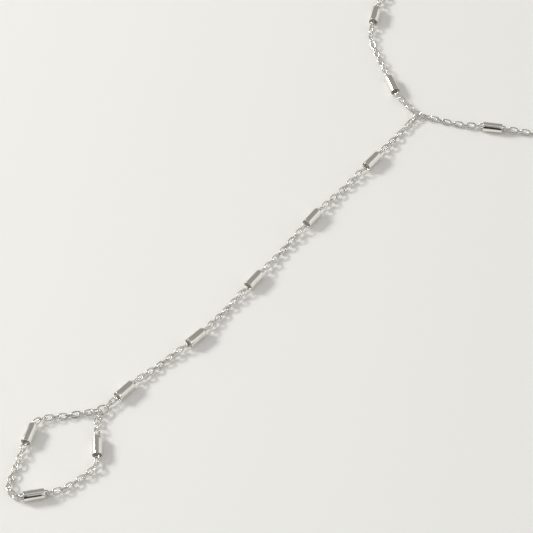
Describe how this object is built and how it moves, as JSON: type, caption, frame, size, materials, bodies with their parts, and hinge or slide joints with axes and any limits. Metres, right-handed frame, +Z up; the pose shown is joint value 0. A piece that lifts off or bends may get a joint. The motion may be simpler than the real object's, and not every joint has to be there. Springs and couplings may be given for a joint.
{
  "type": "hand chain bracelet",
  "caption": "Oval cable chain with plain tube beads: a wrist loop joined by one chain over the back of the hand to a small finger loop, laid flat and fastened by a claw clasp.",
  "frame": {"origin": "middle of the laid-out bracelet, on the surface that it lies on", "axes": "+Z up from the surface; +Y along the hand chain, from the finger loop towards the wrist loop; +X to the right of it"},
  "size_m": [0.0584, 0.1896, 0.0022],
  "materials": {
    "chain": "polished silver wire",
    "beads": "polished silver tube",
    "rings": "polished silver wire",
    "clasp": "polished silver"
  },
  "bodies": {
    "root": {"finger_bead_1": "beads", "finger_bead_2": "beads", "finger_bead_3": "beads", "hand_bead_1": "beads", "hand_bead_2": "beads", "hand_bead_3": "beads", "hand_bead_4": "beads", "hand_bead_5": "beads", "wrist_bead_1": "beads", "wrist_bead_2": "beads", "wrist_bead_3": "beads", "wrist_bead_4": "beads", "wrist_bead_5": "beads", "wrist_bead_6": "beads", "wrist_bead_7": "beads", "finger_chain": "chain", "hand_chain": "chain", "wrist_chain": "chain", "finger_ring": "rings", "wrist_ring": "rings", "clasp": "clasp"}
  },
  "joints": []
}
